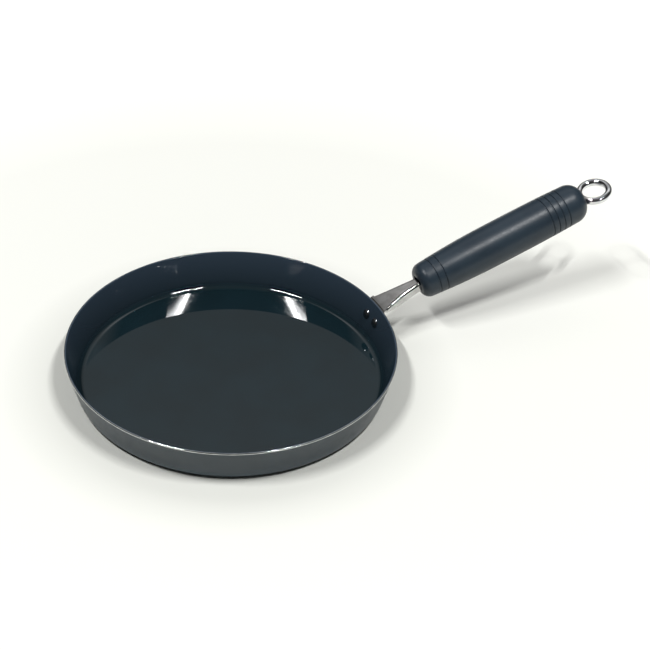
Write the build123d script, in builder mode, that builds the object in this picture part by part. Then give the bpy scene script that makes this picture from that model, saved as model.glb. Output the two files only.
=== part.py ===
from build123d import *
from math import atan2, cos, degrees, radians, sin, sqrt, tan
import os

os.makedirs("parts", exist_ok=True)

# Lengths are millimetres and angles are degrees. The origin is the middle of the pan's
# flat underside, +Z is up, and the grip points along +X.

# pan: a round dish pressed from one sheet
rim_diameter = 220.0
inside_depth = 25.2
pan_sheet = 1.6
wall_flare = 15.7             # how far the wall leans out from upright
corner_bend = 4.8             # inside radius between floor and wall
rim_rounding = 0.5

# rivets: two through the wall and the neck's flange
rivet_spacing = 11.6
rivet_drop = 11.2             # rim down to the rivets' centres
rivet_shank = 4.0
rivet_head = 6.6              # the domed head, inside the pan
rivet_head_height = 1.9
rivet_head_edge = 0.4
rivet_foot = 6.2              # the head formed on the outside
rivet_foot_height = 1.3
rivet_clearance = 0.05        # shank to hole, all round

# neck: folded sheet from the wall to the grip
neck_sheet = 1.2
neck_drop = 0.5               # rim down to the crest of the bend
seat_gap = 0.1                # neck to wall, and under every head
crest_bend = 0.8              # inside radius of the bend over the rim
crest_lip = 2.4               # flat past the bend, where the channel starts
flange_height = 19.0
flange_width = 22.0
flange_shoulder = 4.0         # height over which the flange widens
flange_corner = 5.0
root_width = 19.0             # the neck's width at the rim
root_depth = 2.2              # how far its sides fold down there
root_fold = 1.3               # outside radius of those folds
tongue_width = 8.6            # the same three where it enters the grip
tongue_depth = 6.3
tongue_fold = 2.6
tongue_length = 22.0          # length inside the grip
tongue_lift = 2.9             # top of the tongue over the grip's axis

# grip: a turned shape about its own tilted axis
grip_tilt = 15.1
neck_reach = 31.2             # rim to the middle of the grip's front face, level
neck_rise = 8.1               # the same, upwards
grip_length = 135.0
grip_front_diameter = 23.8
grip_diameter = 29.6
grip_rear_diameter = 27.2
land_start = 62.0             # widest part, measured from the front face
land_end = 85.0
front_rounding = 6.0
rear_rounding = 10.5
socket_clearance = 0.3
socket_corner = 1.0
socket_spare = 1.5            # room behind the nut
bore_diameter = 5.6
recess_diameter = 15.0
recess_depth = 5.5
recess_rounding = 0.6
groove_width = 0.9
groove_depth = 0.7
front_groove = 11.3           # first groove, from the front face
front_groove_pitch = 5.4
front_groove_count = 2
rear_groove = 18.4            # last groove, from the rear end
rear_groove_pitch = 4.6
rear_groove_count = 4

# eye bolt, its nut and its washer
wire_diameter = 5.0
eye_hole = 15.6
eye_standoff = 10.3           # the grip's rear end to the middle of the eye
collar_diameter = 8.6
collar_height = 2.0
bolt_chamfer = 0.6
nut_width = 8.0
nut_thickness = 6.0
nut_chamfer = 0.4
thread_clearance = 0.05
washer_diameter = 14.0
washer_thickness = 1.0
washer_clearance = 0.1

overrun = 6.0                 # how far cuts run past what they cut

# The channel between rim and grip: places along it, and how much of the way from
# root to tongue its width, depth and folds have gone there.
station_shares = (0.04, 0.27, 0.52, 0.76, 1.0)
width_shares = (0.0, 0.38, 0.66, 0.86, 1.0)
depth_shares = (0.0, 0.65, 0.95, 1.0, 1.0)

# the pan's wall
rim_radius = rim_diameter / 2
pan_height = inside_depth + pan_sheet
flare_slope = tan(radians(wall_flare))
wall_thickness = pan_sheet / cos(radians(wall_flare))     # measured level


def outer_wall(height):
    """Radius of the wall's outside at a height over the underside."""
    return rim_radius - (pan_height - height) * flare_slope


base_corner = (outer_wall(0), 0)
floor_corner = (outer_wall(pan_sheet) - wall_thickness, pan_sheet)
rim_outside = (rim_radius, pan_height)
rim_inside = (rim_radius - wall_thickness, pan_height)

# the rivets stand square to the wall, one on either side of the grip
rivet_height = pan_height - rivet_drop
rivet_turn = degrees(atan2(rivet_spacing / 2, outer_wall(rivet_height)))
rivet_turns = (-rivet_turn, rivet_turn)


def rivet_plane(turn):
    """Plane on the wall's outside at a rivet, facing out along its shank."""
    across = Vector(0, 1, 0).rotate(Axis.Z, turn)
    outward = Vector(1, 0, 0).rotate(Axis.Y, wall_flare).rotate(Axis.Z, turn)
    middle = Vector(outer_wall(rivet_height), 0, rivet_height).rotate(Axis.Z, turn)
    return Plane(origin=middle, x_dir=across, z_dir=outward)


with BuildPart() as pan_body:
    with BuildSketch(Plane.XZ):
        with BuildLine():
            Polyline(
                (0, 0),
                base_corner,
                rim_outside,
                rim_inside,
                floor_corner,
                (0, pan_sheet),
                close=True,
            )
        make_face()
        fillet(vertices().sort_by_distance(base_corner)[0], corner_bend + pan_sheet)
        fillet(vertices().sort_by_distance(floor_corner)[0], corner_bend)
        fillet(vertices().group_by(Axis.Y)[-1], rim_rounding)
    revolve(axis=Axis.Z)
    for turn in rivet_turns:
        with BuildSketch(rivet_plane(turn)):
            Circle(rivet_shank / 2 + rivet_clearance)
        extrude(amount=overrun, both=True, mode=Mode.SUBTRACT)
pan_body.part.label = "pan_body"
export_step(pan_body.part, "parts/pan_body.step")

# rivets: domed head, shank and formed foot, turned about the shank's axis
head_seat = -pan_sheet - seat_gap
foot_seat = neck_sheet + seat_gap + seat_gap
head_top = (0, head_seat - rivet_head_height)
foot_top = (0, foot_seat + rivet_foot_height)
for number, turn in enumerate(rivet_turns, start=1):
    seat = rivet_plane(turn)
    half_section = Plane(origin=seat.origin, x_dir=seat.x_dir, z_dir=-seat.y_dir)
    with BuildPart() as rivet:
        with BuildSketch(half_section):
            with BuildLine():
                Line(head_top, foot_top)
                TangentArc(foot_top, (rivet_foot / 2, foot_seat), tangent=(1, 0))
                Polyline(
                    (rivet_foot / 2, foot_seat),
                    (rivet_shank / 2, foot_seat),
                    (rivet_shank / 2, head_seat),
                    (rivet_head / 2, head_seat),
                    (rivet_head / 2, head_seat - rivet_head_edge),
                )
                TangentArc(
                    head_top,
                    (rivet_head / 2, head_seat - rivet_head_edge),
                    tangent=(1, 0),
                )
            make_face()
        revolve(axis=Axis(seat.origin, seat.z_dir))
    rivet.part.label = f"rivet_{number}"
    export_step(rivet.part, f"parts/rivet_{number}.step")

# The grip's plane lies on its front face: x runs across, y up and z along the grip.
tilt_cos = cos(radians(grip_tilt))
tilt_sin = sin(radians(grip_tilt))
grip_direction = Vector(tilt_cos, 0, tilt_sin)
grip_up = Vector(-tilt_sin, 0, tilt_cos)
grip_origin = Vector(rim_radius + neck_reach, 0, pan_height + neck_rise)
grip_plane = Plane(origin=grip_origin, x_dir=(0, 1, 0), z_dir=grip_direction)
grip_section = Plane(origin=grip_origin, x_dir=grip_direction, z_dir=(0, -1, 0))
grip_axis = Axis(grip_origin, grip_direction)

# The crest is where the line up the flange meets the line along the neck's top.
crest = Vector(
    rim_radius - neck_drop * flare_slope + seat_gap / cos(radians(wall_flare)),
    0,
    pan_height - neck_drop,
)
tongue_top = grip_origin + grip_up * tongue_lift
chord = tongue_top - crest
crest_slope = 2 * degrees(atan2(chord.Z, chord.X)) - grip_tilt
flange_slope = 90 - wall_flare
crest_turn = flange_slope - crest_slope


def along(slope, length):
    """Step of a length in the grip's upright plane, at a slope over level."""
    return Vector(length * cos(radians(slope)), 0, length * sin(radians(slope)))


flange_end = crest - along(flange_slope, flange_height)
lip_end = crest + along(crest_slope, crest_lip)
under_crest = crest + along(
    (flange_slope + crest_slope) / 2 - 90,
    neck_sheet / cos(radians(crest_turn / 2)),
)
under_lip = lip_end + along(crest_slope - 90, neck_sheet)
under_flange = flange_end + along(flange_slope - 90, neck_sheet)
flange_half_angle = degrees(atan2(flange_width, crest.X))


def flat(point):
    """Place of a point in the grip's upright plane, as a sketch on Plane.XZ has it."""
    return (point.X, point.Z)


def channel_face(share_width, share_depth):
    """Cross-section of the neck: a sheet folded down at both sides, top edge at y 0."""
    half_width = (root_width + (tongue_width - root_width) * share_width) / 2
    depth = root_depth + (tongue_depth - root_depth) * share_depth
    fold = root_fold + (tongue_fold - root_fold) * share_width
    inner = half_width - neck_sheet
    with BuildSketch() as face:
        with BuildLine():
            over = FilletPolyline(
                (-half_width, -depth),
                (-half_width, 0),
                (half_width, 0),
                (half_width, -depth),
                radius=fold,
            )
            under = FilletPolyline(
                (-inner, -depth),
                (-inner, -neck_sheet),
                (inner, -neck_sheet),
                (inner, -depth),
                radius=fold - neck_sheet,
            )
            Line(over @ 0, under @ 0)
            Line(over @ 1, under @ 1)
        make_face()
    return face.sketch


with BuildLine(Plane.XZ):
    neck_curve = TangentArc(flat(tongue_top), flat(crest), tangent=(-tilt_cos, -tilt_sin))

flange_section = Plane.XZ.rotated((0, 0, -flange_half_angle))
with BuildPart() as neck_bracket:
    # flange, bend and lip: one bent strip swung round the pan, so it hugs the wall
    with BuildSketch(flange_section):
        with BuildLine():
            Polyline(
                flat(flange_end),
                flat(crest),
                flat(lip_end),
                flat(under_lip),
                flat(under_crest),
                flat(under_flange),
                close=True,
            )
        make_face()
        fillet(vertices().sort_by_distance(flat(crest))[0], crest_bend + neck_sheet)
        fillet(vertices().sort_by_distance(flat(under_crest))[0], crest_bend)
    revolve(axis=Axis.Z, revolution_arc=2 * flange_half_angle)
    # its outline, seen along the grip
    with BuildSketch(Plane.YZ):
        with BuildLine():
            Polyline(
                (root_width / 2, lip_end.Z + overrun),
                (root_width / 2, crest.Z - flange_shoulder),
                (flange_width / 2, crest.Z - flange_shoulder - flange_shoulder),
                (flange_width / 2, flange_end.Z),
                (-flange_width / 2, flange_end.Z),
                (-flange_width / 2, crest.Z - flange_shoulder - flange_shoulder),
                (-root_width / 2, crest.Z - flange_shoulder),
                (-root_width / 2, lip_end.Z + overrun),
                close=True,
            )
        make_face()
        fillet(vertices().group_by(Axis.Y)[0], flange_corner)
    extrude(amount=lip_end.X + overrun, mode=Mode.INTERSECT)
    for turn in rivet_turns:
        with BuildSketch(rivet_plane(turn)):
            Circle(rivet_shank / 2 + rivet_clearance)
        extrude(amount=overrun, both=True, mode=Mode.SUBTRACT)
    # the channel, narrowing and deepening from the lip to the grip's front face
    for place, share_width, share_depth in zip(station_shares, width_shares, depth_shares):
        station = Plane(
            origin=neck_curve @ (1 - place),
            x_dir=(0, 1, 0),
            z_dir=-(neck_curve % (1 - place)),
        )
        with BuildSketch(station):
            add(channel_face(share_width, share_depth))
    loft()
    # the tongue inside the grip
    with BuildSketch(grip_plane.shift_origin(tongue_top)):
        add(channel_face(width_shares[-1], depth_shares[-1]))
    extrude(amount=tongue_length)
neck_bracket.part.label = "neck_bracket"
export_step(neck_bracket.part, "parts/neck_bracket.step")

# the nut is welded across the tongue's end
with BuildPart() as anchor_nut:
    with BuildSketch(grip_plane.offset(tongue_length)):
        Rectangle(nut_width, nut_width)
        chamfer(vertices(), nut_chamfer)
        Circle(wire_diameter / 2 + thread_clearance, mode=Mode.SUBTRACT)
    extrude(amount=nut_thickness)
anchor_nut.part.label = "anchor_nut"
export_step(anchor_nut.part, "parts/anchor_nut.step")

# grip
front_radius = grip_front_diameter / 2
widest_radius = grip_diameter / 2
rear_radius = grip_rear_diameter / 2


def barrel_radius(place):
    """Radius of the grip at a distance from its front face: an arc, a land, an arc."""
    if place < land_start:
        run, drop, offset = land_start, widest_radius - front_radius, land_start - place
    else:
        run, drop = grip_length - land_end, widest_radius - rear_radius
        offset = max(place - land_end, 0)
    curve = (run**2 + drop**2) / (2 * drop)
    return widest_radius - curve + sqrt(curve**2 - offset**2)


groove_places = [front_groove + front_groove_pitch * k for k in range(front_groove_count)]
for k in range(rear_groove_count):
    groove_places.append(grip_length - rear_groove - rear_groove_pitch * k)

socket_width = max(tongue_width, nut_width) + 2 * socket_clearance
socket_height = nut_width + 2 * socket_clearance
socket_depth = tongue_length + nut_thickness + socket_spare

with BuildPart() as handle_grip:
    with BuildSketch(grip_section):
        with BuildLine():
            Polyline((0, front_radius), (0, 0), (grip_length, 0), (grip_length, rear_radius))
            TangentArc((land_end, widest_radius), (grip_length, rear_radius), tangent=(1, 0))
            Line((land_end, widest_radius), (land_start, widest_radius))
            TangentArc((land_start, widest_radius), (0, front_radius), tangent=(-1, 0))
        make_face()
        fillet(vertices().sort_by_distance((0, front_radius))[0], front_rounding)
        fillet(vertices().sort_by_distance((grip_length, rear_radius))[0], rear_rounding)
        for place in groove_places:
            with Locations((place, barrel_radius(place))):
                SlotOverall(2 * groove_depth, groove_width, rotation=90, mode=Mode.SUBTRACT)
        low_corner = (Align.MIN, Align.MIN)
        Rectangle(grip_length, bore_diameter / 2, align=low_corner, mode=Mode.SUBTRACT)
        with Locations((grip_length - recess_depth, 0)):
            Rectangle(recess_depth, recess_diameter / 2, align=low_corner, mode=Mode.SUBTRACT)
        recess_mouth = (grip_length, recess_diameter / 2)
        fillet(vertices().sort_by_distance(recess_mouth)[0], recess_rounding)
    revolve(axis=grip_axis)
    with BuildSketch(grip_plane):
        RectangleRounded(socket_width, socket_height, socket_corner)
    extrude(amount=socket_depth, mode=Mode.SUBTRACT)
handle_grip.part.label = "handle_grip"
export_step(handle_grip.part, "parts/handle_grip.step")

# washer on the floor of the rear recess
washer_place = grip_length - recess_depth + seat_gap
with BuildPart() as end_washer:
    with BuildSketch(grip_plane.offset(washer_place)):
        Circle(washer_diameter / 2)
        Circle(wire_diameter / 2 + washer_clearance, mode=Mode.SUBTRACT)
    extrude(amount=washer_thickness)
end_washer.part.label = "end_washer"
export_step(end_washer.part, "parts/end_washer.step")

# The eye lies in the plane that holds the grip's axis and runs level across it.
collar_place = washer_place + washer_thickness + seat_gap
eye_place = grip_length + eye_standoff
eye_radius = (eye_hole + wire_diameter) / 2
tip_place = tongue_length + bolt_chamfer
eye_centre = grip_origin + grip_direction * eye_place
eye_plane = Plane(origin=eye_centre, x_dir=grip_direction, z_dir=grip_up)

with BuildPart(eye_plane) as eye_bolt:
    Torus(eye_radius, wire_diameter / 2)
    with BuildSketch(grip_plane.offset(tip_place)):
        Circle(wire_diameter / 2)
    extrude(amount=eye_place - eye_radius - tip_place)
    chamfer(edges().sort_by(grip_axis)[0], bolt_chamfer)
    with BuildSketch(grip_plane.offset(collar_place)):
        Circle(collar_diameter / 2)
    extrude(amount=collar_height)
eye_bolt.part.label = "eye_bolt"
export_step(eye_bolt.part, "parts/eye_bolt.step")
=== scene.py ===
from math import acos, asin, atan2, cos, pi, radians, sin, sqrt, tan

import bpy
from mathutils import Matrix, Vector


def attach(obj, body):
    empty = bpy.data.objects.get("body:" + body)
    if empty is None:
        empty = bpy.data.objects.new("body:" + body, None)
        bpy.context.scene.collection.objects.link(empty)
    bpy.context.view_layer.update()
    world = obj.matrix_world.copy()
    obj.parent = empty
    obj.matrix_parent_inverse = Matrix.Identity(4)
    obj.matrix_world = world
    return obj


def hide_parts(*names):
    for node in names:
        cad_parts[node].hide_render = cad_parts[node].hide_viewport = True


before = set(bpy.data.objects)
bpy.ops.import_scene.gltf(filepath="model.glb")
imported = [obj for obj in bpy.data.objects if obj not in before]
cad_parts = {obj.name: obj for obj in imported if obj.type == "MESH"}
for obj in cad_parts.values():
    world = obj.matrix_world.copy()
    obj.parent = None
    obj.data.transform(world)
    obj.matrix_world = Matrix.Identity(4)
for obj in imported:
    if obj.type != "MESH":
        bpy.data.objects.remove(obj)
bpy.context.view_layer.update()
print("frame loaded:", len(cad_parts), "nodes")

mm = 0.001
millimetresToMetres = Matrix.Scale(mm, 4)
weld = 0.001                               # millimetres within which a turned mesh's seam and poles join


# helpers

def addNode(tree, kind, sockets=None, **settings):
    node = tree.nodes.new(kind)
    for name, value in settings.items():
        setattr(node, name, value)
    for key, value in (sockets or {}).items():
        if isinstance(value, bpy.types.NodeSocket):
            tree.links.new(value, node.inputs[key])
        else:
            node.inputs[key].default_value = value
    return node


def toLinear(hexCode):
    shares = [int(hexCode[k:k + 2], 16) / 255 for k in (1, 3, 5)]
    return [s / 12.92 if s <= 0.04045 else ((s + 0.055) / 1.055) ** 2.4 for s in shares] + [1.0]


def perMillimetre(size):
    # the Scale of a noise whose features are this many millimetres, on Object coordinates in metres
    return 1 / (size * mm)


def setStops(ramp, stops):
    # colours at their places from 0 to 1, in order
    while len(ramp.elements) < len(stops):
        ramp.elements.new(0.5)
    for element, (place, colour) in zip(ramp.elements, stops):
        element.position = place
        element.color = colour


def grey(level):
    return (level, level, level, 1)


def addFinish(name, colours, cloud, roughness, haze, relief, tooth,
              metallic=0.0, ior=None, stretch=(1, 1, 1)):
    # clouds of two colours, an uneven polish between two roughnesses, and a tooth of so much relief;
    # cloud, haze and tooth are feature sizes in millimetres, and so is the relief's height
    cloudReach, hazeReach = (0.35, 0.65), (0.3, 0.7)       # the noise values that are spread over 0 to 1
    material = bpy.data.materials.new(name)
    material.use_nodes = True
    tree = material.node_tree
    tree.nodes.clear()
    place = addNode(tree, "ShaderNodeTexCoord").outputs["Object"]
    grain = addNode(tree, "ShaderNodeMapping", {"Vector": place, "Scale": stretch}).outputs[0]
    cloudy = addNode(tree, "ShaderNodeTexNoise", {
        "Vector": place, "Scale": perMillimetre(cloud), "Detail": 3.0,
    }).outputs["Fac"]
    share = addNode(tree, "ShaderNodeMapRange", {
        "Value": cloudy, "From Min": cloudReach[0], "From Max": cloudReach[1],
    }).outputs["Result"]
    colour = addNode(tree, "ShaderNodeMix", {
        "Factor": share, "A": toLinear(colours[0]), "B": toLinear(colours[1]),
    }, data_type="RGBA").outputs["Result"]
    hazy = addNode(tree, "ShaderNodeTexNoise", {
        "Vector": grain, "Scale": perMillimetre(haze), "Detail": 3.0,
    }).outputs["Fac"]
    polish = addNode(tree, "ShaderNodeMapRange", {
        "Value": hazy, "From Min": hazeReach[0], "From Max": hazeReach[1],
        "To Min": roughness[0], "To Max": roughness[1],
    }).outputs["Result"]
    rough = addNode(tree, "ShaderNodeTexNoise", {
        "Vector": grain, "Scale": perMillimetre(tooth), "Detail": 2.0,
    }).outputs["Fac"]
    toothed = addNode(tree, "ShaderNodeBump", {
        "Height": rough, "Strength": 1.0, "Distance": relief * mm,
    }).outputs["Normal"]
    shader = addNode(tree, "ShaderNodeBsdfPrincipled", {
        "Base Color": colour, "Roughness": polish, "Normal": toothed, "Metallic": metallic,
    })
    if ior:
        shader.inputs["IOR"].default_value = ior
    addNode(tree, "ShaderNodeOutputMaterial", {"Surface": shader.outputs[0]})
    return material


def paintByHeight(finish, stops):
    # each stop is (height in millimetres, colour, share of it laid over the finish's own colour)
    tree = finish.node_tree
    shader = tree.nodes["Principled BSDF"]
    own = shader.inputs["Base Color"].links[0].from_socket
    lowest, highest = stops[0][0], stops[-1][0]
    place = addNode(tree, "ShaderNodeTexCoord").outputs["Object"]
    height = addNode(tree, "ShaderNodeSeparateXYZ", {0: place}).outputs["Z"]
    climb = addNode(tree, "ShaderNodeMapRange", {
        "Value": height, "From Min": lowest * mm, "From Max": highest * mm,
    }).outputs["Result"]
    band = addNode(tree, "ShaderNodeValToRGB", {"Fac": climb})
    setStops(band.color_ramp, [
        ((stop - lowest) / (highest - lowest), toLinear(colour)[:3] + [share])
        for stop, colour, share in stops
    ])
    both = addNode(tree, "ShaderNodeMix", {
        "Factor": band.outputs["Alpha"], "A": own, "B": band.outputs["Color"],
    }, data_type="RGBA").outputs["Result"]
    tree.links.new(both, shader.inputs["Base Color"])


# finishes

# silicone-baked steel, inside of the dish: a smooth blue-green black that mirrors the lamps softly,
# and a lighter slate painted on the steep wall, palest toward the rim: painted light for the bright room
# that the wall reflects
glossCoat = addFinish("glossCoatedSteel", ("#0d1c21", "#0f2026"), cloud=34,
                      roughness=(0.027, 0.05), haze=11, relief=0.0012, tooth=3.2, ior=1.62)
paintByHeight(glossCoat, ((2.4, "#26323b", 0), (6.4, "#26323b", 1), (25.5, "#364350", 1)))

# the same coat outside, thin and greyer: a satin that takes up the table's light, with a paler colour
# painted near the base as painted light
satinCoat = addFinish("satinCoatedSteel", ("#24323b", "#2a3842"), cloud=26,
                      roughness=(0.3, 0.38), haze=6, relief=0.004, tooth=0.7, ior=1.5)
paintByHeight(satinCoat, (
    (0.0, "#53616b", 0), (0.6, "#53616b", 1), (3.0, "#44525c", 1), (13.0, "#27353f", 0),
))

# sheet steel where the rim's outer edge has worn bare: a thin bright line
bareSteel = addFinish("bareSheetSteel", ("#b4b8b9", "#cfd1d0"), cloud=4,
                      roughness=(0.07, 0.11), haze=1.6, relief=0.0003, tooth=0.35, metallic=1.0)

# nickel-plated sheet, barrel polished: sharp bright reflections with a faint grain along the neck
platedSheet = addFinish("nickelPlatedSheet", ("#aeadab", "#c2c2c1"), cloud=7,
                        roughness=(0.025, 0.045), haze=1.2, relief=0.0001, tooth=0.25,
                        metallic=1.0, stretch=(0.06, 1, 1))

# chromed wire: almost a mirror, so it shows streaks of light and dark
chromedWire = addFinish("chromedWire", ("#cfd0d3", "#dddddf"), cloud=5,
                        roughness=(0.02, 0.05), haze=2.4, relief=0.02, tooth=3.6, metallic=1.0)

# headed steel rivets, steamed with the pan: dark smooth domes with one hard glint
headedSteel = addFinish("headedRivetSteel", ("#8b8f93", "#a1a5a8"), cloud=1.5,
                        roughness=(0.16, 0.22), haze=0.8, relief=0.001, tooth=0.5, metallic=1.0)

# zinc-plated hardware: pale blue-grey with a patchy passivated bloom
zincPlate = addFinish("zincPlatedSteel", ("#9a9fa4", "#bdbfbc"), cloud=2.5,
                      roughness=(0.26, 0.42), haze=1.1, relief=0.004, tooth=0.3, metallic=1.0)

# compression-moulded phenolic: blue-black, satin, with the fine tooth of the mould
phenolic = addFinish("mouldedPhenolic", ("#242f39", "#29353f"), cloud=18,
                     roughness=(0.34, 0.42), haze=1.8, relief=0.006, tooth=0.35, ior=1.4)

print("finishes ready")


# outlines: a list of (radius, height) in millimetres, turned about the z axis later

def roundedOutline(corners, turnStep=5.0, guard=0.25, fewestSteps=3):
    # corners are (radius, height, rounding); guard rings beside each arc keep flats flat
    points = [Vector(corners[0][:2])]
    for before, corner, after in zip(corners, corners[1:], corners[2:]):
        rounding = corner[2]
        here = Vector(corner[:2])
        if not rounding:
            points.append(here)
            continue
        inward = (Vector(before[:2]) - here).normalized()
        onward = (Vector(after[:2]) - here).normalized()
        opening = acos(max(-1.0, min(1.0, inward.dot(onward))))
        setback = rounding / tan(opening / 2)
        centre = here + (inward + onward).normalized() * (rounding / sin(opening / 2))
        start = here + inward * setback
        turn = pi - opening
        sideways = 1 if inward.x * onward.y - inward.y * onward.x < 0 else -1
        steps = max(fewestSteps, int(turn / radians(turnStep)) + 1)
        arm = start - centre
        if guard:
            points.append(start + inward * guard)
        for k in range(steps + 1):
            angle = sideways * turn * k / steps
            points.append(centre + Vector((
                arm.x * cos(angle) - arm.y * sin(angle),
                arm.x * sin(angle) + arm.y * cos(angle),
            )))
        if guard:
            points.append(here + onward * (setback + guard))
    points.append(Vector(corners[-1][:2]))
    return points


# Geometry Nodes: how each tree starts and ends

def newTree(name, inputs, result):
    tree = bpy.data.node_groups.new(name, "GeometryNodeTree")
    for inputName, kind in inputs.items():
        tree.interface.new_socket(inputName, in_out="INPUT", socket_type="NodeSocket" + kind)
    tree.interface.new_socket(result, in_out="OUTPUT", socket_type="NodeSocketGeometry")
    return tree, addNode(tree, "NodeGroupInput").outputs


def endTree(tree, geometry, finish, result):
    real = addNode(tree, "GeometryNodeRealizeInstances", {"Geometry": geometry}).outputs[0]
    finished = addNode(tree, "GeometryNodeSetMaterial", {"Geometry": real, "Material": finish}).outputs[0]
    addNode(tree, "NodeGroupOutput", {result: finished})


# any turned piece, with a screw thread cut between two heights where it has one

def turnedTree():
    tree, given = newTree("turnedPiece", {
        "Outline": "Geometry", "Segments": "Int", "Thread Pitch": "Float", "Thread Depth": "Float",
        "Thread Start": "Float", "Thread End": "Float", "Finish": "Material",
    }, "Turned")
    size = addNode(tree, "GeometryNodeAttributeDomainSize", {"Geometry": given["Outline"]})
    outlinePoint = addNode(tree, "ShaderNodeSeparateXYZ")            # linked once the row is worked out
    value = {
        "segments": given["Segments"], "index": addNode(tree, "GeometryNodeInputIndex").outputs[0],
        "pitch": given["Thread Pitch"], "depth": given["Thread Depth"],
        "start": given["Thread Start"], "end": given["Thread End"],
        "radius": outlinePoint.outputs["X"], "height": outlinePoint.outputs["Z"],
    }
    for result, operation, first, second in (
        # a row for each outline point and a column for each segment, plus the seam
        ("columns", "ADD", "segments", 1.0),
        ("middle", "ADD", "index", 0.5), ("rowPlace", "DIVIDE", "middle", "columns"),
        ("row", "FLOOR", "rowPlace", 0.0), ("rowStart", "MULTIPLY", "row", "columns"),
        ("column", "SUBTRACT", "index", "rowStart"), ("turns", "DIVIDE", "column", "segments"),
        ("angle", "MULTIPLY", "turns", 2 * pi),
        ("cosine", "COSINE", "angle", 0.0), ("sine", "SINE", "angle", 0.0),
        # a right-hand thread: the ridge climbs one pitch a turn, and fades in and out over one pitch
        ("pitches", "DIVIDE", "height", "pitch"), ("climb", "SUBTRACT", "pitches", "turns"),
        ("wave", "PINGPONG", "climb", 0.5), ("valley", "MULTIPLY", "wave", 2.0),
        ("fromStart", "SUBTRACT", "height", "start"), ("rising", "DIVIDE", "fromStart", "pitch"),
        ("toEnd", "SUBTRACT", "end", "height"), ("falling", "DIVIDE", "toEnd", "pitch"),
        ("nearer", "MINIMUM", "rising", "falling"), ("notOver", "MINIMUM", "nearer", 1.0),
        ("fade", "MAXIMUM", "notOver", 0.0), ("share", "MULTIPLY", "valley", "fade"),
        ("cut", "MULTIPLY", "share", "depth"), ("reach", "SUBTRACT", "radius", "cut"),
        ("x", "MULTIPLY", "reach", "cosine"), ("y", "MULTIPLY", "reach", "sine"),
    ):
        value[result] = addNode(tree, "ShaderNodeMath", {
            0: value.get(first, first), 1: value.get(second, second),
        }, operation=operation).outputs[0]
    place = addNode(tree, "GeometryNodeInputPosition").outputs[0]
    sampled = addNode(tree, "GeometryNodeSampleIndex", {
        "Geometry": given["Outline"], "Value": place, "Index": value["row"],
    }, data_type="FLOAT_VECTOR", domain="POINT").outputs["Value"]
    tree.links.new(sampled, outlinePoint.inputs[0])
    grid = addNode(tree, "GeometryNodeMeshGrid", {
        "Size X": 1.0, "Size Y": 1.0,
        "Vertices X": size.outputs["Point Count"], "Vertices Y": value["columns"],
    }).outputs["Mesh"]
    turnedPoint = addNode(tree, "ShaderNodeCombineXYZ", {
        "X": value["x"], "Y": value["y"], "Z": value["height"],
    }).outputs[0]
    moved = addNode(tree, "GeometryNodeSetPosition", {"Geometry": grid, "Position": turnedPoint}).outputs[0]
    merged = addNode(tree, "GeometryNodeMergeByDistance", {"Geometry": moved, "Distance": weld}).outputs[0]
    endTree(tree, merged, given["Finish"], "Turned")
    return tree


def meshOf(source):
    # the source's mesh as its modifiers leave it; the source is used up
    graph = bpy.context.evaluated_depsgraph_get()
    mesh = bpy.data.meshes.new_from_object(source.evaluated_get(graph), depsgraph=graph)
    bpy.data.objects.remove(source)
    return mesh


def dressWhole(mesh, finish):
    mesh.materials.clear()
    mesh.materials.append(finish)
    mesh.polygons.foreach_set("material_index", [0] * len(mesh.polygons))


def makeByNodes(name, startMesh, tree, inputs):
    source = bpy.data.objects.new(name + "Source", startMesh)
    bpy.context.scene.collection.objects.link(source)
    modifier = source.modifiers.new("nodes", "NODES")
    modifier.node_group = tree
    for socket in tree.interface.items_tree:
        if socket.in_out == "INPUT" and socket.name in inputs:
            modifier[socket.identifier] = inputs[socket.name]
    mesh = meshOf(source)
    mesh.name = name
    dressWhole(mesh, inputs["Finish"])
    return mesh


turnedPiece = turnedTree()


def turnOutline(name, points, segments, finish, pitch=1.0, depth=0.0, start=0.0, end=0.0):
    outline = bpy.data.meshes.new(name + "Outline")
    outline.from_pydata([(p.x, 0, p.y) for p in points], [(k, k + 1) for k in range(len(points) - 1)], [])
    return makeByNodes(name, outline, turnedPiece, {
        "Segments": segments, "Finish": finish, "Thread Pitch": pitch, "Thread Depth": depth,
        "Thread Start": start, "Thread End": end,
    })


def joinMeshes(name, meshes, finish):
    # puts several meshes of one finish into one
    vertices, faces = [], []
    for mesh in meshes:
        first = len(vertices)
        vertices += [v.co.copy() for v in mesh.vertices]
        faces += [[first + v for v in face.vertices] for face in mesh.polygons]
    joined = bpy.data.meshes.new(name)
    joined.from_pydata(vertices, [], faces)
    dressWhole(joined, finish)
    return joined


def outward(mesh):
    # turns the mesh right side out if its enclosed volume comes out negative
    volume = 0.0
    for face in mesh.polygons:
        corners = [mesh.vertices[v].co for v in face.vertices]
        for k in range(1, len(corners) - 1):
            volume += corners[0].dot(corners[k].cross(corners[k + 1]))
    if volume < 0:
        mesh.flip_normals()


def addPiece(name, mesh, body, materialSlot, *nodes, place=None, sharpTurn=35.0):
    # a mesh in millimetres goes to its place in metres and joins its CAD body
    if place:
        mesh.transform(place)
    mesh.transform(millimetresToMetres)
    outward(mesh)
    mesh.polygons.foreach_set("use_smooth", [True] * len(mesh.polygons))
    mesh.set_sharp_from_angle(angle=radians(sharpTurn))
    mesh.name = name
    piece = bpy.data.objects.new(name, mesh)
    bpy.context.scene.collection.objects.link(piece)
    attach(piece, body)
    if nodes:
        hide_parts(*nodes)
    print(name, "made:", len(mesh.polygons), "faces")


# the dish; in each section s holds the sizes of its own piece, in millimetres and degrees

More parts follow.
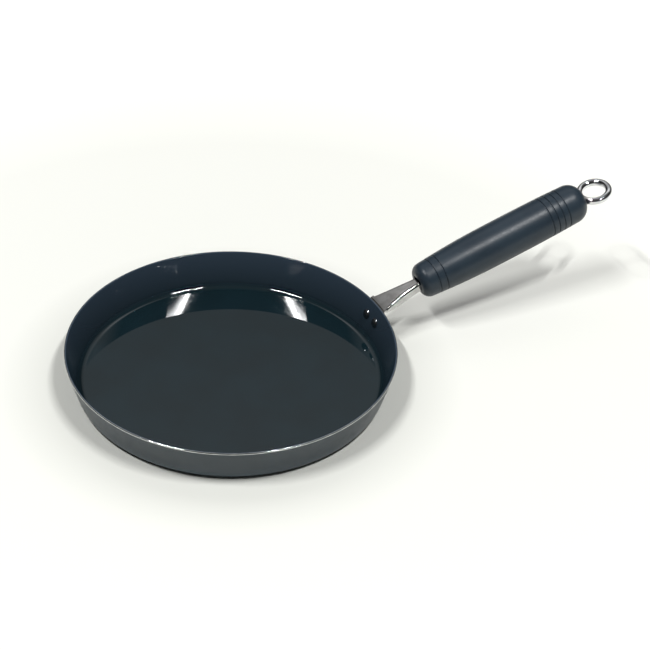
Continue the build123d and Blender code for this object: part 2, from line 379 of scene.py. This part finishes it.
panSizes = {
    "rimDiameter": 220.0, "insideDepth": 25.2, "sheet": 1.6, "flare": 15.7,
    "cornerBend": 4.8, "rimRounding": 0.7, "wornEdge": 0.95,
    "segments": 360, "turnStep": 3.0, "guard": 0.08,
}
s = panSizes
panHeight = s["insideDepth"] + s["sheet"]
slope = tan(radians(s["flare"]))
wallAcross = s["sheet"] / cos(radians(s["flare"]))
rimRadius = s["rimDiameter"] / 2


def outerWall(height):
    return rimRadius - (panHeight - height) * slope


panOutline = roundedOutline([
    (0, 0, 0),
    (outerWall(0), 0, s["cornerBend"] + s["sheet"]),
    (rimRadius, panHeight, s["rimRounding"]),
    (rimRadius - wallAcross, panHeight, s["rimRounding"]),
    (outerWall(s["sheet"]) - wallAcross, s["sheet"], s["cornerBend"]),
    (0, s["sheet"], 0),
], s["turnStep"], s["guard"])
panMesh = turnOutline("panBody", panOutline, s["segments"], glossCoat)
panMesh.materials.append(satinCoat)
panMesh.materials.append(bareSteel)
satinIndex, bareIndex = 1, 2
for face in panMesh.polygons:
    centre = face.center
    across = sqrt(centre.x ** 2 + centre.y ** 2)
    if centre.z > panHeight - s["wornEdge"] and across > rimRadius - s["wornEdge"]:
        face.material_index = bareIndex
    elif centre.z < s["sheet"] / 2 or across > outerWall(centre.z) - wallAcross / 2:
        face.material_index = satinIndex
addPiece("panBody", panMesh, "pan", "coated_steel", "pan_body")


# the two rivets, turned once and set on two points of the wall

rivetSizes = {
    "spacing": 11.6, "belowRim": 11.2, "shank": 4.0, "head": 6.6, "headHeight": 1.9, "headEdge": 0.4,
    "foot": 6.2, "footHeight": 1.3, "gap": 0.1, "neckSheet": 1.2, "segments": 40,
}
s = rivetSizes


def domeOutline(edgeRadius, edgeHeight, topHeight, steps=10):
    # from the dome's edge up to its top, on the circle that meets the axis squarely
    rise = topHeight - edgeHeight
    curve = (edgeRadius ** 2 + rise ** 2) / (2 * rise)
    sweep = asin(edgeRadius / abs(curve))
    angles = [sweep * (1 - k / steps) for k in range(steps + 1)]
    return [Vector((abs(curve) * sin(angle), topHeight - curve + curve * cos(angle))) for angle in angles]


headSeat = panSizes["sheet"] + s["gap"]                # heights along the shank, into the dish
footSeat = -(s["neckSheet"] + 2 * s["gap"])
shankRadius, headRadius = s["shank"] / 2, s["head"] / 2
foot = domeOutline(s["foot"] / 2, footSeat, footSeat - s["footHeight"])
head = domeOutline(headRadius, headSeat + s["headEdge"], headSeat + s["headHeight"])
stem = [Vector((shankRadius, footSeat)), Vector((shankRadius, headSeat)), Vector((headRadius, headSeat))]
rivetMesh = turnOutline("rivet", foot[::-1] + stem + head, s["segments"], headedSteel)
rivetHeight = panHeight - s["belowRim"]
wallRadius = outerWall(rivetHeight)
rivetTurn = atan2(s["spacing"] / 2, wallRadius)


def rivetTree():
    tree, given = newTree("rivetsOnWall", {
        "Places": "Geometry", "Rivet": "Object", "Wall Lean": "Float", "Finish": "Material",
    }, "Rivets")
    shape = addNode(tree, "GeometryNodeObjectInfo", {"Object": given["Rivet"]}).outputs["Geometry"]
    # each stands square to the wall: its head faces the dish's axis and tips up by the lean
    place = addNode(tree, "GeometryNodeInputPosition").outputs[0]
    split = addNode(tree, "ShaderNodeSeparateXYZ", {0: place}).outputs
    heading = addNode(tree, "ShaderNodeMath", {0: split["Y"], 1: split["X"]}, operation="ARCTAN2")
    tip = addNode(tree, "ShaderNodeMath", {0: given["Wall Lean"], 1: pi / 2}, operation="SUBTRACT")
    turn = addNode(tree, "ShaderNodeCombineXYZ", {"Y": tip.outputs[0], "Z": heading.outputs[0]}).outputs[0]
    placed = addNode(tree, "GeometryNodeInstanceOnPoints", {
        "Points": given["Places"], "Instance": shape, "Rotation": turn,
    }).outputs[0]
    endTree(tree, placed, given["Finish"], "Rivets")
    return tree


rivetPlaces = bpy.data.meshes.new("rivetPlaces")
rivetPlaces.from_pydata([
    (wallRadius * cos(turn), wallRadius * sin(turn), rivetHeight) for turn in (-rivetTurn, rivetTurn)
], [], [])
rivetShape = bpy.data.objects.new("rivetShape", rivetMesh)
bpy.context.scene.collection.objects.link(rivetShape)
rivetsMesh = makeByNodes("rivets", rivetPlaces, rivetTree(), {
    "Rivet": rivetShape, "Wall Lean": radians(panSizes["flare"]), "Finish": headedSteel,
})
bpy.data.objects.remove(rivetShape)
addPiece("rivets", rivetsMesh, "pan", "rivet_steel", "rivet_1", "rivet_2")


# the grip's own axis: z runs along it from the front face, x is up

gripPlace = {"tilt": 15.1, "reach": 31.2, "rise": 8.1}
tilt = radians(gripPlace["tilt"])
gripOrigin = Vector((rimRadius + gripPlace["reach"], 0, panHeight + gripPlace["rise"]))
gripMatrix = Matrix((
    (-sin(tilt), 0, cos(tilt), gripOrigin.x),
    (0, -1, 0, gripOrigin.y),
    (cos(tilt), 0, sin(tilt), gripOrigin.z),
    (0, 0, 0, 1),
))

# the grip: a barrel with grooves near both ends, a recess for the collar and a bore for the shank

gripSizes = {
    "length": 135.0, "frontDiameter": 23.8, "diameter": 29.6, "rearDiameter": 27.2,
    "landStart": 62.0, "landEnd": 85.0, "frontRounding": 6.0, "rearRounding": 10.5,
    "firstRing": 8.0, "ringStep": 1.5, "rearPlain": 12.0,
    "grooveWidth": 0.9, "grooveDepth": 0.7, "grooveLip": 0.14, "grooveFoot": 0.4, "grooveRoom": 1.2,
    "frontGroove": 11.3, "frontPitch": 5.4, "frontCount": 2,
    "rearGroove": 18.4, "rearPitch": 4.6, "rearCount": 4,
    "bore": 5.6, "recess": 15.0, "recessDepth": 5.5, "recessSink": 0.9, "recessRounding": 0.6,
    "recessLand": 0.72, "recessFoot": 0.3,
    "socketWidth": 9.2, "socketHeight": 8.6, "socketDepth": 29.5, "socketCorner": 1.0,
    "socketOverrun": 1.0, "segments": 160,
}
s = gripSizes
length = s["length"]


def barrelRadius(place):
    # an arc up to the land, the land, and an arc down from it
    widest = gripSizes["diameter"] / 2
    if place < gripSizes["landStart"]:
        run, drop = gripSizes["landStart"], widest - gripSizes["frontDiameter"] / 2
        offset = gripSizes["landStart"] - place
    else:
        run, drop = length - gripSizes["landEnd"], widest - gripSizes["rearDiameter"] / 2
        offset = max(place - gripSizes["landEnd"], 0)
    curve = (run ** 2 + drop ** 2) / (2 * drop)
    return widest - curve + sqrt(curve ** 2 - offset ** 2)


grooves = [s["frontGroove"] + s["frontPitch"] * k for k in range(s["frontCount"])]
grooves += [length - s["rearGroove"] - s["rearPitch"] * k for k in range(s["rearCount"] - 1, -1, -1)]
half = s["grooveWidth"] / 2
barrel = []
place = s["firstRing"]
for groove in grooves + [length]:
    # plain rings up to the groove, then its two lips and its rounded foot
    while place < min(groove - s["grooveRoom"], length - s["rearPlain"]):
        barrel.append((barrelRadius(place), place, 0))
        place += s["ringStep"]
    if groove < length:
        top = barrelRadius(groove)
        bottom = top - s["grooveDepth"]
        barrel += [
            (top, groove - half, s["grooveLip"]), (bottom, groove - half, s["grooveFoot"]),
            (bottom, groove + half, s["grooveFoot"]), (top, groove + half, s["grooveLip"]),
        ]
        place = groove + s["grooveRoom"]
front = roundedOutline(
    [(s["bore"] / 2, 0, 0), (s["frontDiameter"] / 2, 0, s["frontRounding"])] + barrel[:1], turnStep=6.0)
rear = roundedOutline(
    barrel[-1:] + [(s["rearDiameter"] / 2, length, s["rearRounding"]), (0, length, 0)], turnStep=4.0)
mouth = s["recess"] / 2
rear = [p for p in rear if p.x > mouth + s["recessLand"]]
recessFloor = length - s["recessDepth"]
inside = roundedOutline([
    (rear[-1].x, rear[-1].y, 0), (mouth, length - s["recessSink"], s["recessRounding"]),
    (mouth, recessFloor, s["recessFoot"]), (s["bore"] / 2, recessFloor, 0), (s["bore"] / 2, 0, 0),
], turnStep=12.0, guard=0.1)
gripOutline = front[:-1] + roundedOutline(barrel, turnStep=15.0, guard=0) + rear[1:] + inside[1:]
gripMesh = turnOutline("handleGrip", gripOutline, s["segments"], phenolic)
outward(gripMesh)

# the square socket for the neck's tongue, cut from the front face
corner = s["socketCorner"]
cornerSteps = 4
upHalf, sideHalf = s["socketHeight"] / 2 - corner, s["socketWidth"] / 2 - corner
ring = []
for quarter, (up, side) in enumerate(((1, 1), (-1, 1), (-1, -1), (1, -1))):
    for k in range(cornerSteps + 1):
        angle = pi / 2 * (quarter + k / cornerSteps)
        ring.append((up * upHalf + corner * cos(angle), side * sideHalf + corner * sin(angle)))
count = len(ring)
socketMesh = bpy.data.meshes.new("socketCutter")
socketMesh.from_pydata(
    [(x, y, -s["socketOverrun"]) for x, y in ring] + [(x, y, s["socketDepth"]) for x, y in ring], [],
    [tuple(reversed(range(count))), tuple(range(count, 2 * count))]
    + [(k, (k + 1) % count, count + (k + 1) % count, count + k) for k in range(count)])
socket = bpy.data.objects.new("socketCutter", socketMesh)
whole = bpy.data.objects.new("gripWhole", gripMesh)
for part in (socket, whole):
    bpy.context.scene.collection.objects.link(part)
cut = whole.modifiers.new("socket", "BOOLEAN")
cut.operation, cut.solver, cut.object = "DIFFERENCE", "EXACT", socket
gripMesh = meshOf(whole)
bpy.data.objects.remove(socket)
dressWhole(gripMesh, phenolic)
addPiece("handleGrip", gripMesh, "pan", "phenolic", "handle_grip", place=gripMatrix)


# the hanging eye, its collar and the long threaded shank inside the grip

eyeSizes = {
    "wire": 5.0, "hole": 15.6, "standoff": 10.3,
    "collar": 8.6, "collarHeight": 2.0, "collarPlace": 130.7, "collarRounding": 0.3, "collarRoom": 0.5,
    "tipPlace": 22.6, "tipChamfer": 0.6,
    "threadPitch": 0.8, "threadDepth": 0.45, "threadLength": 30.0, "rowsPerPitch": 8,
    "segments": 32, "ringSegments": 128,
}
s = eyeSizes


def ringTree():
    tree, given = newTree("wireRing", {
        "Start": "Geometry", "Ring Radius": "Float", "Wire Radius": "Float",
        "Ring Segments": "Int", "Wire Segments": "Int", "Finish": "Material",
    }, "Ring")
    path = addNode(tree, "GeometryNodeCurvePrimitiveCircle", {
        "Resolution": given["Ring Segments"], "Radius": given["Ring Radius"],
    }, mode="RADIUS").outputs["Curve"]
    section = addNode(tree, "GeometryNodeCurvePrimitiveCircle", {
        "Resolution": given["Wire Segments"], "Radius": given["Wire Radius"],
    }, mode="RADIUS").outputs["Curve"]
    wire = addNode(tree, "GeometryNodeCurveToMesh", {"Curve": path, "Profile Curve": section})
    endTree(tree, wire.outputs["Mesh"], given["Finish"], "Ring")
    return tree


wireRadius, collarRadius = s["wire"] / 2, s["collar"] / 2
ringRadius = (s["hole"] + s["wire"]) / 2
eyePlace = length + s["standoff"]
ringMesh = makeByNodes("ring", bpy.data.meshes.new("ringStart"), ringTree(), {
    "Ring Radius": ringRadius, "Wire Radius": wireRadius, "Ring Segments": s["ringSegments"],
    "Wire Segments": s["segments"], "Finish": chromedWire,
})
ringMesh.transform(Matrix.Translation((0, 0, eyePlace)) @ Matrix.Rotation(pi / 2, 4, "Y"))

threadRows = int(s["threadLength"] / s["threadPitch"] * s["rowsPerPitch"])
firstRow, rowStep = s["tipPlace"] + s["tipChamfer"], (s["threadLength"] - s["tipChamfer"]) / threadRows
shank = [Vector((0, s["tipPlace"])), Vector((wireRadius - s["tipChamfer"], s["tipPlace"]))]
shank += [Vector((wireRadius, firstRow + rowStep * k)) for k in range(threadRows + 1)]
collarTop = s["collarPlace"] + s["collarHeight"]
shankTop = eyePlace - ringRadius
shank += roundedOutline([
    (wireRadius, s["collarPlace"] - s["collarRoom"], 0), (wireRadius, s["collarPlace"], 0),
    (collarRadius, s["collarPlace"], s["collarRounding"]), (collarRadius, collarTop, s["collarRounding"]),
    (wireRadius, collarTop, 0), (wireRadius, shankTop, 0), (0, shankTop, 0),
], turnStep=15.0, guard=0)
shankMesh = turnOutline("shank", shank, s["segments"], chromedWire, s["threadPitch"], s["threadDepth"],
                        s["tipPlace"], s["tipPlace"] + s["threadLength"])
eyeMesh = joinMeshes("eyeBolt", [ringMesh, shankMesh], chromedWire)
addPiece("eyeBolt", eyeMesh, "eye", "plated_steel", "eye_bolt", place=gripMatrix)


# CAD nodes that stay get their finish

for nodeName, finish in {
    "neck_bracket": platedSheet, "anchor_nut": zincPlate, "end_washer": zincPlate,
}.items():
    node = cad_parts[nodeName]
    node.data.materials.clear()
    node.data.materials.append(finish)
print("frame nodes finished")


# the photograph's camera, with its directions in the frame

cameraSizes = {"lens": 99.03, "sensor": 36.0, "nearest": 0.05, "farthest": 50.0}
s = cameraSizes
viewPoint = Vector((-401.665, -847.813, 716.231 + panHeight)) * mm
forward = Vector((0.38983561, 0.7013022, -0.5968278))
rightward = Vector((0.88624314, -0.46180079, 0.03623696))
upward = Vector((0.25020249, 0.54306101, 0.80155066))
levelAway = Vector((forward.x, forward.y, 0)).normalized()
levelRight = Vector((levelAway.y, -levelAway.x, 0))

lens = bpy.data.cameras.new("photoCamera")
lens.lens = s["lens"]
lens.sensor_width = s["sensor"]
lens.clip_start, lens.clip_end = s["nearest"], s["farthest"]
camera = bpy.data.objects.new("photoCamera", lens)
bpy.context.scene.collection.objects.link(camera)
cameraTurn = Matrix((rightward, upward, -forward)).transposed().to_4x4()
camera.matrix_world = Matrix.Translation(viewPoint) @ cameraTurn
bpy.context.scene.camera = camera
bpy.context.scene.view_settings.view_transform = "Standard"


# the floor: pale paper that shows white to the eye and keeps the pan's shadow

floorSizes = {
    "size": 9.0, "below": 0.05, "colour": "#dcddd7", "glowColour": "#fffefa",
    # painted light: the glow's strength at each distance in metres from the dish's middle, none over the
    # pan's shadow and rising just beyond its edge, so the floor round the pan stays darker than the rest
    "paintedGlow": ((0.12, 0.0), (0.155, 0.16), (0.3, 0.2), (0.6, 0.6)),
}
s = floorSizes
floorMesh = bpy.data.meshes.new("tableTop")
half = s["size"] / 2
floorMesh.from_pydata([
    (-half, -half, 0), (half, -half, 0), (half, half, 0), (-half, half, 0),
], [], [(0, 1, 2, 3)])
floorMesh.transform(Matrix.Translation((0, 0, -s["below"] * mm)))
floor = bpy.data.objects.new("tableTop", floorMesh)
bpy.context.scene.collection.objects.link(floor)
paper = bpy.data.materials.new("paleTable")
paper.use_nodes = True
tree = paper.node_tree
tree.nodes.clear()
shade = addNode(tree, "ShaderNodeBsdfDiffuse", {"Color": toLinear(s["colour"])}).outputs[0]
rays = addNode(tree, "ShaderNodeLightPath").outputs
seen = rays["Is Camera Ray"]
for ray in ("Is Glossy Ray", "Is Transmission Ray"):
    seen = addNode(tree, "ShaderNodeMath", {0: seen, 1: rays[ray]}, operation="ADD").outputs[0]
place = addNode(tree, "ShaderNodeTexCoord").outputs["Object"]
distance = addNode(tree, "ShaderNodeVectorMath", {0: place}, operation="LENGTH").outputs["Value"]
# painted light: the emission grows with distance from the dish, which leaves the floor round the pan darker
level = addNode(tree, "ShaderNodeValToRGB", {"Fac": distance})
setStops(level.color_ramp, [(reach, grey(strength)) for reach, strength in s["paintedGlow"]])
strength = addNode(tree, "ShaderNodeMath", {
    0: seen, 1: level.outputs["Color"],
}, operation="MULTIPLY").outputs[0]
paintedGlow = addNode(tree, "ShaderNodeEmission", {
    "Color": toLinear(s["glowColour"]), "Strength": strength,
}).outputs[0]
both = addNode(tree, "ShaderNodeAddShader", {0: shade, 1: paintedGlow}).outputs[0]
addNode(tree, "ShaderNodeOutputMaterial", {"Surface": both})
floorMesh.materials.append(paper)


# the room: dark low down all round, dim on the near side,
# and beyond the table a pale wall under a soft bright panel

roomSizes = {
    "colour": "#fffefa", "ground": 0.7, "low": 0.035, "farWall": 0.28, "farPanel": 1.2, "ceiling": 0.12,
    "sideBlend": (0.3, 0.6),
}
s = roomSizes
world = bpy.data.worlds.new("studio")
bpy.context.scene.world = world
world.use_nodes = True
tree = world.node_tree
tree.nodes.clear()
direction = addNode(tree, "ShaderNodeTexCoord").outputs["Generated"]
lift = addNode(tree, "ShaderNodeSeparateXYZ", {0: direction}).outputs["Z"]
climb = addNode(tree, "ShaderNodeMapRange", {
    "Value": lift, "From Min": -1.0, "From Max": 1.0,
}).outputs["Result"]
levels = {}
for side, stops in {                      # grey levels over the direction's rise, 0 level and 1 straight up
    "far": (
        (-0.02, s["ground"]), (0.02, s["low"]), (0.42, s["low"]),
        (0.53, 0.8 * s["farWall"]), (0.6, s["farWall"]), (0.66, 1.4 * s["farWall"]),
        (0.72, 0.42 * s["farPanel"]), (0.78, s["farPanel"]), (0.88, s["farPanel"]),
        (0.94, s["ceiling"]), (1.0, s["ceiling"]),
    ),
    "near": (
        (-0.02, s["ground"]), (0.02, s["low"]), (0.78, s["low"]), (0.9, s["ceiling"]), (1.0, s["ceiling"]),
    ),
}.items():
    ramp = addNode(tree, "ShaderNodeValToRGB", {"Fac": climb})
    setStops(ramp.color_ramp, [((rise + 1) / 2, grey(level)) for rise, level in stops])
    levels[side] = ramp.outputs["Color"]
beyond = addNode(tree, "ShaderNodeVectorMath", {
    0: direction, 1: levelAway,
}, operation="DOT_PRODUCT").outputs["Value"]
share = addNode(tree, "ShaderNodeMapRange", {
    "Value": beyond, "From Min": s["sideBlend"][0], "From Max": s["sideBlend"][1],
}).outputs["Result"]
room = addNode(tree, "ShaderNodeMix", {
    "Factor": share, "A": levels["near"], "B": levels["far"],
}, data_type="RGBA").outputs["Result"]
lit = addNode(tree, "ShaderNodeBackground", {"Color": room, "Strength": 1.0}).outputs[0]
plain = addNode(tree, "ShaderNodeBackground", {"Color": toLinear(s["colour"]), "Strength": 1.0}).outputs[0]
isCamera = addNode(tree, "ShaderNodeLightPath").outputs["Is Camera Ray"]
shown = addNode(tree, "ShaderNodeMixShader", {0: isCamera, 1: lit, 2: plain}).outputs[0]
addNode(tree, "ShaderNodeOutputWorld", {"Surface": shown})


# lamps: a fitting on either side, each a bright tube with a fainter one beside it

lampSizes = {
    "tubeWidth": 0.012, "twinShift": 0.026, "tubeWatts": 26.8, "twinWatts": 2.9, "tubeAway": 0.88,
    # metres from the dish to the right, away from the camera and up, then the tube's lean and length
    "places": {"right": (0.760, -0.478, 2.09, 0.47, 0.70), "left": (-0.824, -0.475, 2.07, -0.47, 0.75)},
}
s = lampSizes


def addLamp(name, centre, along, width, length, watts):
    # a rectangle that faces the dish, with its length along a direction
    towards = centre.normalized()
    along = (along - towards * along.dot(towards)).normalized()
    lamp = bpy.data.lights.new(name, "AREA")
    lamp.shape = "RECTANGLE"
    lamp.size, lamp.size_y, lamp.energy = width, length, watts
    lampObject = bpy.data.objects.new(name, lamp)
    bpy.context.scene.collection.objects.link(lampObject)
    axes = Matrix((along.cross(towards), along, towards)).transposed().to_4x4()
    lampObject.matrix_world = Matrix.Translation(centre) @ axes


for side, (right, away, height, lean, tubeLength) in s["places"].items():
    centre = levelRight * right + levelAway * away + Vector((0, 0, height))
    along = levelRight * lean + levelAway * s["tubeAway"]
    outwards = (levelRight * s["tubeAway"] - levelAway * lean) * (1 if right > 0 else -1)
    twinCentre = centre + outwards * s["twinShift"]
    addLamp(side + "Tube", centre, along, s["tubeWidth"], tubeLength, s["tubeWatts"])
    addLamp(side + "Twin", twinCentre, along, s["tubeWidth"], tubeLength, s["twinWatts"])
print("stage, lamps and camera ready")
